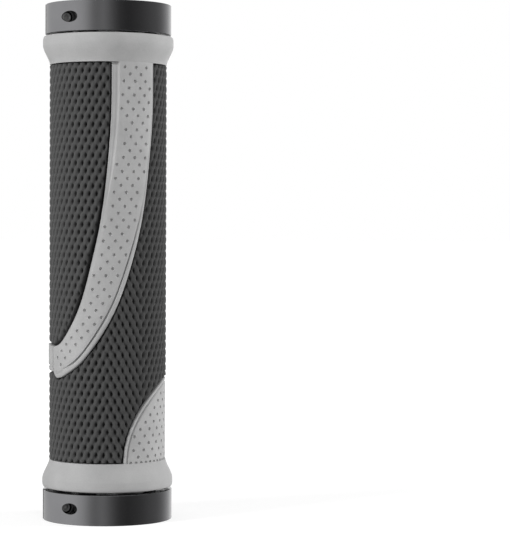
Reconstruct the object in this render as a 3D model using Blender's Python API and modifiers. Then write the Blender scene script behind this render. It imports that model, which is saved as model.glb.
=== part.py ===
"""Bicycle handlebar grip with a clamp ring at each end.

The grip stands on its lower ring. Its axis is +Z and the origin is the middle of its lower end.
An angle round the grip is measured from the front, which faces -Y, and grows towards +X.
All sizes are in metres and all angles in degrees.
"""

import math

import bmesh
import bpy
import numpy as np
from mathutils import Matrix, Vector

# Handlebar and overall length
GRIP_LENGTH = 0.130
BAR_DIAMETER = 0.0222
BAR_FIT = 0.0001
SEAT_GAP = 0.0003

# Hard core tube and its dog tabs
CORE_WALL = 0.0013
TAB_WIDTH = 0.0050
TAB_REACH = 0.0030
TAB_FIT = 0.0003
TAB_ANGLE = -25.0

# Clamp rings, of which the lower one is a little thicker
LOWER_RING_WALL = 0.0052
UPPER_RING_WALL = 0.00475
RING_WIDTH = 0.00755
RING_CHAMFER = 0.0003
RING_BORE_CHAMFER = 0.0003
RING_GAP = 0.0003
SLOT_WIDTH = 0.0015
SLOT_ANGLE = -82.0

# Clamp screw, which lies along a tangent of the ring and crosses the slot
SCREW_LEAD = 10.0
SCREW_FROM_END = 0.0040
POCKET_INNER_WALL = 0.00045
POCKET_FLOOR_FROM_SLOT = 0.0063
THREAD_END_WALL = 0.0013
HEAD_DIAMETER = 0.0023
HEAD_LENGTH = 0.0022
HEAD_CHAMFER = 0.0002
SHANK_DIAMETER = 0.0018
SCREW_FIT = 0.00025
SOCKET_WIDTH = 0.0012
SOCKET_DEPTH = 0.0012

# Knurled rubber
RUBBER_WALL = 0.00205
KNURL_DEPTH = 0.0005
KNURL_AROUND = 48
KNURL_ROW_HEIGHT = 0.00195
CHANNEL_WEB = 0.00075

# Grey rubber collars, whose foot lies a little below the knurl
COLLAR_WIDTH = 0.0073
COLLAR_LAND = 0.0012
COLLAR_EDGE_DROP = 0.0004
COLLAR_EDGE_LENGTH = 0.0014
COLLAR_RISE = 0.0018
COLLAR_FOOT_DROP = 0.0001

# Grey band and dome pad, let into the channels of the knurled rubber
BAND_PROUD = 0.00015
DOME_DROP = 0.0002
DOME_HEIGHT = 0.02085
DOME_HALF_ANGLE = 74.0
DOME_SHOULDER = 1.1

# The groove that parts the band and the pad from their rims
BAND_RIM_WIDTH = 0.0009
DOME_RIM_WIDTH = 0.00075
GROOVE_WIDTH = 0.0007
GROOVE_DEPTH = 0.0005
GROOVE_FIRST_KNOT = 4
GROOVE_LAST_KNOT = 10

# The band's two edges as (angle round the grip, depth below the upper collar)
BAND_INNER_EDGE = (
    (3.0, 0.0),
    (2.5, 0.01235),
    (-0.6, 0.02485),
    (-5.9, 0.03655),
    (-13.4, 0.04685),
    (-27.6, 0.06025),
    (-45.6, 0.06825),
    (-62.0, 0.07075),
    (-90.0, 0.07035),
)
BAND_OUTER_EDGE = (
    (49.2, 0.0),
    (48.8, 0.01235),
    (44.7, 0.02405),
    (38.3, 0.03545),
    (29.0, 0.04565),
    (16.6, 0.05695),
    (3.9, 0.06425),
    (-11.6, 0.07035),
    (-28.0, 0.07525),
    (-46.6, 0.07795),
    (-57.0, 0.07885),
    (-62.5, 0.07855),
    (-66.0, 0.07755),
    (-71.0, 0.07725),
    (-90.0, 0.07725),
)

# Facets
TURNED_STEPS = 44
SCREW_STEPS = 16
FLARE_STEPS = 5
EDGE_STEPS = 3
DOME_STEPS = 12

# Sizes that follow from the driving ones
BORE_RADIUS = (BAR_DIAMETER + BAR_FIT) / 2
CORE_RADIUS = BORE_RADIUS + CORE_WALL
RUBBER_BORE_RADIUS = CORE_RADIUS + SEAT_GAP
CHANNEL_RADIUS = RUBBER_BORE_RADIUS + CHANNEL_WEB
BAND_BORE_RADIUS = CHANNEL_RADIUS + SEAT_GAP
KNURL_RADIUS = RUBBER_BORE_RADIUS + RUBBER_WALL
BAND_RADIUS = KNURL_RADIUS + BAND_PROUD
DOME_RADIUS = KNURL_RADIUS - DOME_DROP
COLLAR_FOOT_RADIUS = KNURL_RADIUS - COLLAR_FOOT_DROP
COLLAR_RADIUS = COLLAR_FOOT_RADIUS + COLLAR_RISE
LOWER_COLLAR_END = RING_WIDTH + RING_GAP
UPPER_COLLAR_END = GRIP_LENGTH - LOWER_COLLAR_END
LOWER_FOOT = LOWER_COLLAR_END + COLLAR_WIDTH
UPPER_FOOT = UPPER_COLLAR_END - COLLAR_WIDTH
OUTSIDE = 2 * COLLAR_RADIUS
LOWER_RING_RADIUS = BORE_RADIUS + LOWER_RING_WALL
UPPER_RING_RADIUS = BORE_RADIUS + UPPER_RING_WALL
SCREW_ANGLE = SLOT_ANGLE + SCREW_LEAD
POCKET_RADIUS = HEAD_DIAMETER / 2 + SCREW_FIT
SCREW_OFFSET = BORE_RADIUS + POCKET_INNER_WALL + POCKET_RADIUS
POCKET_FLOOR = POCKET_FLOOR_FROM_SLOT - SCREW_OFFSET * math.tan(math.radians(SCREW_LEAD))


def clear_scene():
    """Remove every object, so that the file starts empty."""
    for old in list(bpy.data.objects):
        bpy.data.objects.remove(old, do_unlink=True)


def new_collection(name):
    """A collection linked to the scene."""
    collection = bpy.data.collections.new(name)
    bpy.context.scene.collection.children.link(collection)
    return collection


def new_material(name, colour, roughness, metallic):
    """A Principled material with one colour."""
    material = bpy.data.materials.new(name)
    material.use_nodes = True
    shader = material.node_tree.nodes["Principled BSDF"]
    shader.inputs["Base Color"].default_value = (*colour, 1.0)
    shader.inputs["Roughness"].default_value = roughness
    shader.inputs["Metallic"].default_value = metallic
    material.diffuse_color = (*colour, 1.0)
    return material


def mesh_object(name, mesh, collection):
    """An object that shows the mesh, linked to the collection."""
    thing = bpy.data.objects.new(name, mesh)
    collection.objects.link(thing)
    return thing


def finish_part(thing, material):
    """Give a finished part its material and smooth shading with sharp edges."""
    thing.data.materials.append(material)
    thing.data.shade_smooth()
    thing.data.set_sharp_from_angle(angle=math.radians(30))
    return thing


def hide_cutter(thing):
    """Show a cutter as a wire and leave it out of renders."""
    thing.hide_render = True
    thing.display_type = "WIRE"
    return thing


def around(angle):
    """The direction at an angle round the grip."""
    turn = math.radians(angle)
    return Vector((math.sin(turn), -math.cos(turn), 0.0))


def turned(name, profile, collection, steps=TURNED_STEPS, closed=True):
    """A profile of (radius, height) points turned about the Z axis with a Screw modifier.

    A closed profile makes a ring. An open one starts and ends on the axis and makes a solid.
    """
    points = [(radius, 0.0, height) for radius, height in profile]
    edges = [(i, i + 1) for i in range(len(points) - 1)]
    if closed:
        edges.append((len(points) - 1, 0))
    mesh = bpy.data.meshes.new(name)
    mesh.from_pydata(points, edges, [])
    thing = mesh_object(name, mesh, collection)
    screw = thing.modifiers.new("Turn", "SCREW")
    screw.axis = "Z"
    screw.angle = math.tau
    screw.steps = steps
    screw.render_steps = steps
    screw.use_merge_vertices = True
    screw.merge_threshold = 0.000001
    return thing


def cut_by(thing, cutter, operation="DIFFERENCE"):
    """Cut, join or trim a part with another object."""
    boolean = thing.modifiers.new(operation.title(), "BOOLEAN")
    boolean.operation = operation
    boolean.solver = "EXACT"
    boolean.object = cutter
    return thing


def extruded(name, outline, half_depth, collection):
    """A flat (x, z) outline extruded both ways along Y, as one closed mesh."""
    curve = bpy.data.curves.new(name, "CURVE")
    curve.dimensions = "2D"
    curve.fill_mode = "BOTH"
    curve.extrude = half_depth
    spline = curve.splines.new("POLY")
    spline.points.add(len(outline) - 1)
    for point, (x, z) in zip(spline.points, outline):
        point.co = (x, z, 0.0, 1.0)
    spline.use_cyclic_u = True
    drawn = bpy.data.objects.new(name + "_outline", curve)
    collection.objects.link(drawn)
    drawn.rotation_euler.x = math.radians(90)
    bpy.context.view_layer.update()
    graph = bpy.context.evaluated_depsgraph_get()
    mesh = bpy.data.meshes.new_from_object(drawn.evaluated_get(graph))
    weld = bmesh.new()
    weld.from_mesh(mesh)
    bmesh.ops.remove_doubles(weld, verts=weld.verts, dist=0.000001)
    bmesh.ops.recalc_face_normals(weld, faces=weld.faces)
    weld.to_mesh(mesh)
    weld.free()
    thing = mesh_object(name, mesh, collection)
    thing.matrix_world = drawn.matrix_world.copy()
    bpy.data.objects.remove(drawn, do_unlink=True)
    return thing


def smooth_line(points, steps=EDGE_STEPS):
    """A smooth line through the points, as an array with a few steps in each span."""
    knots = np.array(points)
    before = np.vstack([2 * knots[0] - knots[1], knots[:-1]])
    after = np.vstack([knots[1:], 2 * knots[-1] - knots[-2]])
    slope = (after - before) / 2
    t = np.linspace(0.0, 1.0, steps, endpoint=False)[:, None]
    spans = []
    for i in range(len(knots) - 1):
        spans.append(
            (2 * t**3 - 3 * t**2 + 1) * knots[i]
            + (t**3 - 2 * t**2 + t) * slope[i]
            + (3 * t**2 - 2 * t**3) * knots[i + 1]
            + (t**3 - t**2) * slope[i + 1]
        )
    return np.vstack([*spans, knots[-1:]])


def grown(line, distance):
    """The line moved sideways by a distance, to the left of its direction."""
    along = np.gradient(line, axis=0)
    along /= np.linalg.norm(along, axis=1)[:, None]
    return line + distance * np.column_stack([-along[:, 1], along[:, 0]])


def seen_from_front(edge):
    """Turn (angle, depth below the upper collar) rows into (x, z) rows."""
    x = BAND_RADIUS * np.sin(np.radians(edge[:, 0]))
    return np.column_stack([x, UPPER_FOOT - edge[:, 1]])


def band_edges(growth):
    """The band's inner and outer edges, each running down from the collar to the left side."""
    inner = grown(seen_from_front(smooth_line(BAND_INNER_EDGE)), -growth)
    outer = grown(seen_from_front(smooth_line(BAND_OUTER_EDGE)), growth)
    return inner, outer


def dome_edge(growth):
    """The dome pad's edge, half an oval round the grip, from the lower collar to its top."""
    turn = np.radians(np.linspace(0.0, 90.0, DOME_STEPS))
    across = np.maximum(np.cos(turn), 0.0) ** DOME_SHOULDER
    angle = np.radians(90.0 - DOME_HALF_ANGLE * across)
    line = np.column_stack([DOME_RADIUS * np.sin(angle), LOWER_FOOT + DOME_HEIGHT * np.sin(turn)])
    return grown(line, growth)


def collar_profile():
    """The collar's outer side from its ring end to its foot, as (radius, distance from the end).

    The flare is the mean of a straight cone and an S-curve between the land and the foot.
    """
    rounding = [
        (
            COLLAR_RADIUS - COLLAR_EDGE_DROP * (1 - math.sin(turn)),
            COLLAR_EDGE_LENGTH * (1 - math.cos(turn)),
        )
        for turn in np.linspace(0.0, math.pi / 2, EDGE_STEPS)
    ]
    flare_start = COLLAR_EDGE_LENGTH + COLLAR_LAND
    drop = COLLAR_RADIUS - COLLAR_FOOT_RADIUS
    flare = [
        (
            COLLAR_FOOT_RADIUS + drop * (1 - t + (1 + math.cos(math.pi * t)) / 2) / 2,
            flare_start + (COLLAR_WIDTH - flare_start) * t,
        )
        for t in np.linspace(0.0, 1.0, FLARE_STEPS + 1)
    ]
    return rounding + flare


def build_core(parts, cutters, material):
    """The hard core tube: a plain tube whose ends are cut back between the dog tabs."""
    low = LOWER_COLLAR_END - RING_GAP - TAB_REACH
    high = UPPER_COLLAR_END + RING_GAP + TAB_REACH
    profile = [(CORE_RADIUS, high), (CORE_RADIUS, low), (BORE_RADIUS, low), (BORE_RADIUS, high)]
    core = turned("core_sleeve", profile, parts)
    lower = tab_gaps("core_lower_gaps", TAB_WIDTH, low - SEAT_GAP, LOWER_COLLAR_END, cutters)
    upper = tab_gaps("core_upper_gaps", TAB_WIDTH, UPPER_COLLAR_END, high + SEAT_GAP, cutters)
    cut_by(core, lower)
    cut_by(core, upper)
    return finish_part(core, material)


def tab_gaps(name, tab_width, low, high, cutters):
    """Four square blocks, one in each quarter, which leave a cross of four tabs between them."""
    mesh = bpy.data.meshes.new(name)
    blocks = bmesh.new()
    for quarter in range(4):
        turn = Matrix.Rotation(math.radians(TAB_ANGLE + 90 * quarter), 4, "Z")
        centre = (tab_width + OUTSIDE) / 2
        place = Matrix.Translation((centre, centre, (low + high) / 2))
        size = Matrix.Diagonal((OUTSIDE, OUTSIDE, high - low, 1.0))
        bmesh.ops.create_cube(blocks, size=1.0, matrix=turn @ place @ size)
    blocks.to_mesh(mesh)
    blocks.free()
    return hide_cutter(mesh_object(name, mesh, cutters))


def tab_notches(name, low, high, cutters):
    """The space in a ring for the core's tabs: a plug with the stretches between them removed."""
    radius = CORE_RADIUS + SEAT_GAP
    notches = turned(name, [(0, high), (radius, high), (radius, low), (0, low)], cutters, closed=False)
    margin = SEAT_GAP
    gaps = tab_gaps(name + "_gaps", TAB_WIDTH + 2 * TAB_FIT, low - margin, high + margin, cutters)
    cut_by(notches, gaps)
    return hide_cutter(notches)


def screw_place(height):
    """The frame of a clamp screw: its +Z runs from the thread to the head, along the tangent."""
    outward = around(SCREW_ANGLE)
    along = Vector((-outward.y, outward.x, 0.0))
    side = along.cross(outward)
    place = Matrix((outward, side, along)).transposed().to_4x4()
    place.translation = outward * SCREW_OFFSET + Vector((0.0, 0.0, height))
    return place


def thread_end(ring_radius):
    """Where the screw hole ends in the screw's frame, one wall short of the ring's outside."""
    return THREAD_END_WALL - math.sqrt(ring_radius**2 - SCREW_OFFSET**2)


def screw_hole(name, height, ring_radius, cutters):
    """The stepped hole for a clamp screw: a clear hole for the shank and a pocket for the head."""
    clear = SHANK_DIAMETER / 2 + SEAT_GAP
    end = thread_end(ring_radius)
    profile = [
        (0.0, ring_radius),
        (POCKET_RADIUS, ring_radius),
        (POCKET_RADIUS, POCKET_FLOOR),
        (clear, POCKET_FLOOR),
        (clear, end),
        (0.0, end),
    ]
    hole = turned(name, profile, cutters, SCREW_STEPS, closed=False)
    hole.matrix_world = screw_place(height)
    return hide_cutter(hole)


def build_ring(name, radius, end, inwards, parts, cutters, material):
    """A split clamp ring. Its end is the flat outer face, and inwards is +1 or -1 along Z."""
    low = min(end, end + inwards * RING_WIDTH)
    high = max(end, end + inwards * RING_WIDTH)
    profile = [
        (radius - RING_CHAMFER, high),
        (radius, high - RING_CHAMFER),
        (radius, low + RING_CHAMFER),
        (radius - RING_CHAMFER, low),
        (BORE_RADIUS + RING_BORE_CHAMFER, low),
        (BORE_RADIUS, low + RING_BORE_CHAMFER),
        (BORE_RADIUS, high - RING_BORE_CHAMFER),
        (BORE_RADIUS + RING_BORE_CHAMFER, high),
    ]
    ring = turned(name, profile, parts)
    face = end + inwards * RING_WIDTH
    floor = face - inwards * (TAB_REACH + SEAT_GAP)
    past = face + inwards * SEAT_GAP
    cut_by(ring, tab_notches(name + "_notches", min(floor, past), max(floor, past), cutters))
    height = end + inwards * SCREW_FROM_END
    cut_by(ring, screw_hole(name + "_screw_hole", height, radius, cutters))
    cut_by(ring, split_slot(name + "_slot", (low + high) / 2, radius, cutters))
    return finish_part(ring, material)


def split_slot(name, height, ring_radius, cutters):
    """The block that parts a clamp ring along one radius."""
    mesh = bpy.data.meshes.new(name)
    block = bmesh.new()
    turn = Matrix.Rotation(math.radians(SLOT_ANGLE - 90), 4, "Z")
    place = Matrix.Translation((BORE_RADIUS, 0.0, height))
    size = Matrix.Diagonal((ring_radius, SLOT_WIDTH, 2 * RING_WIDTH, 1.0))
    bmesh.ops.create_cube(block, size=1.0, matrix=turn @ place @ size)
    block.to_mesh(mesh)
    block.free()
    return hide_cutter(mesh_object(name, mesh, cutters))


def build_screw(name, ring_radius, height, parts, cutters, material):
    """A small socket head screw: turned head and shank, with a hexagon socket in the head."""
    seat = POCKET_FLOOR + SEAT_GAP
    top = seat + HEAD_LENGTH
    end = thread_end(ring_radius) + SEAT_GAP
    profile = [
        (0.0, top),
        (HEAD_DIAMETER / 2 - HEAD_CHAMFER, top),
        (HEAD_DIAMETER / 2, top - HEAD_CHAMFER),
        (HEAD_DIAMETER / 2, seat),
        (SHANK_DIAMETER / 2, seat),
        (SHANK_DIAMETER / 2, end),
        (0.0, end),
    ]
    screw = turned(name, profile, parts, SCREW_STEPS, closed=False)
    screw.matrix_world = screw_place(height)
    mesh = bpy.data.meshes.new(name + "_socket")
    hexagon = bmesh.new()
    corner = SOCKET_WIDTH / math.sqrt(3)
    place = Matrix.Translation((0.0, 0.0, top))
    bmesh.ops.create_cone(
        hexagon, cap_ends=True, segments=6, radius1=corner, radius2=corner,
        depth=2 * SOCKET_DEPTH, matrix=place,
    )
    hexagon.to_mesh(mesh)
    hexagon.free()
    socket = mesh_object(name + "_socket", mesh, cutters)
    socket.matrix_world = screw_place(height)
    cut_by(screw, hide_cutter(socket))
    return finish_part(screw, material)


def build_knurl(parts, cutters, material):
    """The dark rubber: a cylinder of small squares whose alternate corners stand out as diamonds."""
    low = LOWER_FOOT + SEAT_GAP
    high = UPPER_FOOT - SEAT_GAP
    rows = round((high - low) / KNURL_ROW_HEIGHT)
    columns = 2 * KNURL_AROUND
    mesh = bpy.data.meshes.new("knurled_sleeve")
    knurl = bmesh.new()
    bmesh.ops.create_cone(
        knurl, cap_ends=False, segments=columns, radius1=KNURL_RADIUS, radius2=KNURL_RADIUS,
        depth=high - low, matrix=Matrix.Translation((0.0, 0.0, (low + high) / 2)),
    )
    upright = [edge for edge in knurl.edges if abs(edge.verts[0].co.z - edge.verts[1].co.z) > SEAT_GAP]
    bmesh.ops.subdivide_edges(knurl, edges=upright, cuts=rows - 1, use_grid_fill=True)
    valleys = []
    for vert in knurl.verts:
        column = round(math.atan2(vert.co.y, vert.co.x) / math.tau * columns)
        row = round((vert.co.z - low) / (high - low) * rows)
        if (column + row) % 2:
            vert.co.xy *= (KNURL_RADIUS - KNURL_DEPTH) / KNURL_RADIUS
            valleys.append(vert)
    bmesh.ops.connect_verts(knurl, verts=valleys)
    rims = [edge for edge in knurl.edges if edge.is_boundary]
    bmesh.ops.holes_fill(knurl, edges=rims, sides=0)
    bmesh.ops.recalc_face_normals(knurl, faces=knurl.faces)
    knurl.to_mesh(mesh)
    knurl.free()
    sleeve = mesh_object("knurled_sleeve", mesh, parts)
    cut_by(sleeve, rubber_bore(low, high, cutters))
    cut_by(sleeve, band_channel(cutters))
    cut_by(sleeve, dome_channel(cutters))
    return finish_part(sleeve, material)


def rubber_bore(low, high, cutters):
    """The bore of the dark rubber, which passes over the core tube."""
    top = high + COLLAR_WIDTH
    bottom = low - COLLAR_WIDTH
    profile = [(0, top), (RUBBER_BORE_RADIUS, top), (RUBBER_BORE_RADIUS, bottom), (0, bottom)]
    return hide_cutter(turned("rubber_bore", profile, cutters, closed=False))


def channel_ring(name, floor, low, high, cutters):
    """A ring from a channel's or a groove's floor to outside the grip, which an outline then trims."""
    profile = [(OUTSIDE, high), (OUTSIDE, low), (floor, low), (floor, high)]
    return hide_cutter(turned(name, profile, cutters))


def band_channel(cutters):
    """The channel for the band, a seat gap wider than the band all round."""
    inner, outer = band_edges(SEAT_GAP)
    top = UPPER_FOOT + SEAT_GAP
    outline = [(outer[0][0], top), *outer, (-OUTSIDE, outer[-1][1]), (-OUTSIDE, inner[-1][1])]
    outline += [*inner[::-1], (inner[0][0], top)]
    trim = hide_cutter(extruded("band_channel_trim", outline, OUTSIDE, cutters))
    ring = channel_ring("band_channel", CHANNEL_RADIUS, LOWER_FOOT, top, cutters)
    return cut_by(ring, trim, "INTERSECT")


def dome_channel(cutters):
    """The channel for the dome pad, a seat gap wider than the pad all round."""
    edge = dome_edge(SEAT_GAP)
    bottom = LOWER_FOOT - SEAT_GAP
    outline = [(OUTSIDE, bottom), (OUTSIDE, edge[-1][1]), *edge[::-1], (edge[0][0], bottom)]
    trim = hide_cutter(extruded("dome_channel_trim", outline, OUTSIDE, cutters))
    ring = channel_ring("dome_channel", CHANNEL_RADIUS, bottom, UPPER_FOOT, cutters)
    return cut_by(ring, trim, "INTERSECT")


def rim_groove(name, rim_side, pad_side, floor, cutters):
    """A groove between a rim and its pad, from two lines that run the same way."""
    trim = hide_cutter(extruded(name + "_trim", [*rim_side, *pad_side[::-1]], OUTSIDE, cutters))
    ring = channel_ring(name, floor, LOWER_COLLAR_END, UPPER_COLLAR_END, cutters)
    return cut_by(ring, trim, "INTERSECT")


def band_groove(cutters):
    """The groove along the lower stretch of the band's outer rim."""
    part = slice(GROOVE_FIRST_KNOT * EDGE_STEPS, GROOVE_LAST_KNOT * EDGE_STEPS + 1)
    rim_side = band_edges(-BAND_RIM_WIDTH)[1][part]
    pad_side = band_edges(-BAND_RIM_WIDTH - GROOVE_WIDTH)[1][part]
    return rim_groove("band_groove", rim_side, pad_side, BAND_RADIUS - GROOVE_DEPTH, cutters)


def dome_groove(cutters):
    """The groove along the dome pad's rim, which runs out past the top of the grip's side."""
    rim_side = dome_edge(-DOME_RIM_WIDTH)
    pad_side = dome_edge(-DOME_RIM_WIDTH - GROOVE_WIDTH)
    rim_side = [*rim_side, (OUTSIDE, rim_side[-1][1])]
    pad_side = [*pad_side, (OUTSIDE, pad_side[-1][1])]
    return rim_groove("dome_groove", rim_side, pad_side, DOME_RADIUS - GROOVE_DEPTH, cutters)


def build_upper_band(parts, cutters, material):
    """The upper collar and the band that sweeps from it, turned as one shell and then trimmed."""
    bottom = LOWER_FOOT + DOME_HEIGHT / 2
    collar = [(radius, UPPER_COLLAR_END - down) for radius, down in collar_profile()]
    profile = collar + [
        (BAND_RADIUS, UPPER_FOOT - SEAT_GAP),
        (BAND_RADIUS, bottom),
        (BAND_BORE_RADIUS, bottom),
        (BAND_BORE_RADIUS, UPPER_FOOT + SEAT_GAP),
        (RUBBER_BORE_RADIUS, UPPER_FOOT + SEAT_GAP),
        (RUBBER_BORE_RADIUS, UPPER_COLLAR_END),
    ]
    band = turned("upper_band", profile, parts)
    inner, outer = band_edges(0.0)
    outline = [(OUTSIDE, GRIP_LENGTH), (OUTSIDE, UPPER_FOOT), *outer, (-OUTSIDE, outer[-1][1])]
    outline += [(-OUTSIDE, inner[-1][1]), *inner[::-1], (-OUTSIDE, UPPER_FOOT), (-OUTSIDE, GRIP_LENGTH)]
    trim = hide_cutter(extruded("upper_band_trim", outline, OUTSIDE, cutters))
    cut_by(band, trim, "INTERSECT")
    cut_by(band, band_groove(cutters))
    return finish_part(band, material)


def build_lower_band(parts, cutters, material):
    """The lower collar and the dome pad that stands on it, turned as one shell and then trimmed."""
    top = LOWER_FOOT + 2 * DOME_HEIGHT
    collar = [(radius, LOWER_COLLAR_END + up) for radius, up in collar_profile()]
    profile = collar[::-1] + [
        (RUBBER_BORE_RADIUS, LOWER_COLLAR_END),
        (RUBBER_BORE_RADIUS, LOWER_FOOT - SEAT_GAP),
        (BAND_BORE_RADIUS, LOWER_FOOT - SEAT_GAP),
        (BAND_BORE_RADIUS, top),
        (DOME_RADIUS, top),
        (DOME_RADIUS, LOWER_FOOT + SEAT_GAP),
    ]
    band = turned("lower_band", profile, parts)
    edge = dome_edge(0.0)
    outline = [(-OUTSIDE, 0.0), (OUTSIDE, 0.0), (OUTSIDE, edge[-1][1]), *edge[::-1], (-OUTSIDE, LOWER_FOOT)]
    trim = hide_cutter(extruded("lower_band_trim", outline, OUTSIDE, cutters))
    cut_by(band, trim, "INTERSECT")
    cut_by(band, dome_groove(cutters))
    return finish_part(band, material)


def build_grip():
    """Build every piece of the grip."""
    clear_scene()
    parts = new_collection("handlebar_grip")
    cutters = new_collection("cutters")
    plastic = new_material("black_nylon", (0.015, 0.015, 0.016), 0.5, 0.0)
    dark_rubber = new_material("dark_rubber", (0.060, 0.060, 0.062), 0.65, 0.0)
    grey_rubber = new_material("grey_rubber", (0.400, 0.400, 0.405), 0.60, 0.0)
    aluminium = new_material("gunmetal_aluminium", (0.070, 0.072, 0.076), 0.25, 1.0)
    steel = new_material("blackened_steel", (0.050, 0.050, 0.050), 0.35, 1.0)

    build_core(parts, cutters, plastic)
    build_knurl(parts, cutters, dark_rubber)
    build_upper_band(parts, cutters, grey_rubber)
    build_lower_band(parts, cutters, grey_rubber)
    ends = (
        ("lower", LOWER_RING_RADIUS, 0.0, 1),
        ("upper", UPPER_RING_RADIUS, GRIP_LENGTH, -1),
    )
    for place, radius, end, inwards in ends:
        build_ring(place + "_clamp_ring", radius, end, inwards, parts, cutters, aluminium)
        height = end + inwards * SCREW_FROM_END
        build_screw(place + "_clamp_screw", radius, height, parts, cutters, steel)


build_grip()
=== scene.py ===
# %% [markdown]
# # A lock-on handlebar grip
#
# The grip is a rubber sleeve on a hard tube, held on the bar by a split ring at each end.
# This lesson loads the solid model as a fixed frame and builds a finer surface over each solid.
# Every shape is a numpy function of two parameters, and every finish is made of shader nodes.

# %% Load the frame
import math

import bmesh
import bpy
import numpy as np
from mathutils import Matrix, Vector


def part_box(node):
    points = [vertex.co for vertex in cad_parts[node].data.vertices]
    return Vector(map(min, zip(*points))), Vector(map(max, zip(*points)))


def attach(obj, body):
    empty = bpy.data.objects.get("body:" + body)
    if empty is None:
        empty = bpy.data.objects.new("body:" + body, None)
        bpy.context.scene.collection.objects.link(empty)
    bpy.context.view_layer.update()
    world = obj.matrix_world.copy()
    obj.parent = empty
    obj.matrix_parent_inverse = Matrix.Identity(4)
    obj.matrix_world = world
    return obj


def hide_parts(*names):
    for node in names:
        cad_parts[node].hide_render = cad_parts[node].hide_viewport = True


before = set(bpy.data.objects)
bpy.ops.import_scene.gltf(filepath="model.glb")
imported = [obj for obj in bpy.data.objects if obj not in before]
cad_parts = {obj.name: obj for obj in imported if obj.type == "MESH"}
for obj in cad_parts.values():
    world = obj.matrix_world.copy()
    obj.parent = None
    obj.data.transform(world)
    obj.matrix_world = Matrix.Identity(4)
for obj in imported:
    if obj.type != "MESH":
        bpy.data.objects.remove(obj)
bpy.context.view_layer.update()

print("frame nodes:", sorted(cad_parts))

# %% [markdown]
# ## Sizes from the frame
#
# The solids already say how tall and how wide each piece is. Reading them here, instead of typing
# them again, keeps the fine surfaces in their places. Lengths below are in millimetres, because
# that is how a maker thinks of a grip, and they become metres when a mesh is made. A shape on the
# front becomes its mirror image on the back when its points are multiplied by FRONT_TO_BACK.

# %% Measure the solids
MM = 0.001
FRONT_TO_BACK = np.array([1.0, -1.0, 1.0])


def box_mm(name):
    """The lowest and highest corners of a frame node, in millimetres."""
    low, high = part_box(name)
    return np.array(low) / MM, np.array(high) / MM


_, lower_ring_high = box_mm("lower_clamp_ring")
_, upper_ring_high = box_mm("upper_clamp_ring")
sleeve_low, sleeve_high = box_mm("knurled_sleeve")
_, band_high = box_mm("upper_band")
core_low, core_high = box_mm("core_sleeve")

SEAT_GAP = 0.3
GRIP_LENGTH = upper_ring_high[2]
RING_WIDTH = lower_ring_high[2]
LOWER_RING_RADIUS = lower_ring_high[0]
UPPER_RING_RADIUS = upper_ring_high[0]
COLLAR_RADIUS = band_high[0]
CORE_RADIUS = core_high[0]
KNURL_RADIUS = sleeve_high[0]
LOWER_FOOT = sleeve_low[2] - SEAT_GAP
UPPER_FOOT = sleeve_high[2] + SEAT_GAP
UPPER_COLLAR_END = band_high[2]
LOWER_COLLAR_END = GRIP_LENGTH - UPPER_COLLAR_END
print("length", round(GRIP_LENGTH, 2), "feet", round(LOWER_FOOT, 2), round(UPPER_FOOT, 2))

# %% [markdown]
# ## Meshes from arrays
#
# A surface is a grid of points with quads between them. The grid may close on itself in one or in
# both directions, as a tube or a ring does. Working on whole arrays is fast and keeps the formulas
# readable. Each finished shell is turned so that its faces point outwards, which a positive volume
# shows.

# %% Points and faces


def on_grip(arc_angle, radius, height):
    """The point at an angle from the front (-Y, growing towards +X), a radius and a height."""
    turn = np.radians(arc_angle)
    return np.stack(np.broadcast_arrays(radius * np.sin(turn), -radius * np.cos(turn), height), -1)


def grid_faces(rows, columns, wrap_rows=False, wrap_columns=False):
    """Quads between the points of a grid that is stored row by row."""
    index = np.arange(rows * columns).reshape(rows, columns)
    if wrap_rows:
        index = np.vstack([index, index[:1]])
    if wrap_columns:
        index = np.hstack([index, index[:, :1]])
    quads = [index[:-1, :-1], index[:-1, 1:], index[1:, 1:], index[1:, :-1]]
    return np.stack(quads, -1).reshape(-1, 4)


def volume(points, faces):
    """Six times the signed volume under the faces, each taken as a fan of triangles."""
    a, b, c = (points[faces[:, i]] for i in (0, 1, 2))
    total = np.einsum("ij,ij->i", a, np.cross(b, c)).sum()
    if faces.shape[1] == 4:
        total += volume(points, faces[:, [0, 2, 3]])
    return total


def shell(points, *face_sets):
    """One closed shell as (points, list of face arrays), turned so that it faces outwards."""
    points = points.reshape(-1, 3)
    if sum(volume(points, faces) for faces in face_sets) < 0:
        face_sets = [faces[:, ::-1] for faces in face_sets]
    return points, list(face_sets)


def turned_shell(profile, steps=256):
    """A closed (radius, height) profile turned about the grip's axis."""
    profile = np.asarray(profile, float)
    turn = np.linspace(0.0, 360.0, steps, endpoint=False)[None, :]
    points = on_grip(turn, profile[:, :1], profile[:, 1:])
    return shell(points, grid_faces(len(profile), steps, wrap_rows=True, wrap_columns=True))


print("an open grid of 3 by 4 points has", len(grid_faces(3, 4)), "quads")

# %% [markdown]
# ## Objects from shells
#
# One object can hold several shells. Its points and faces go into the mesh as flat arrays, which is
# much faster than adding them one by one. Edges sharper than a given angle are marked, so that the
# rest can be shaded smooth.

# %% Objects


def placed(name, data):
    """A new object in the scene for a mesh, a lamp or a camera."""
    thing = bpy.data.objects.new(name, data)
    bpy.context.scene.collection.objects.link(thing)
    return thing


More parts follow.
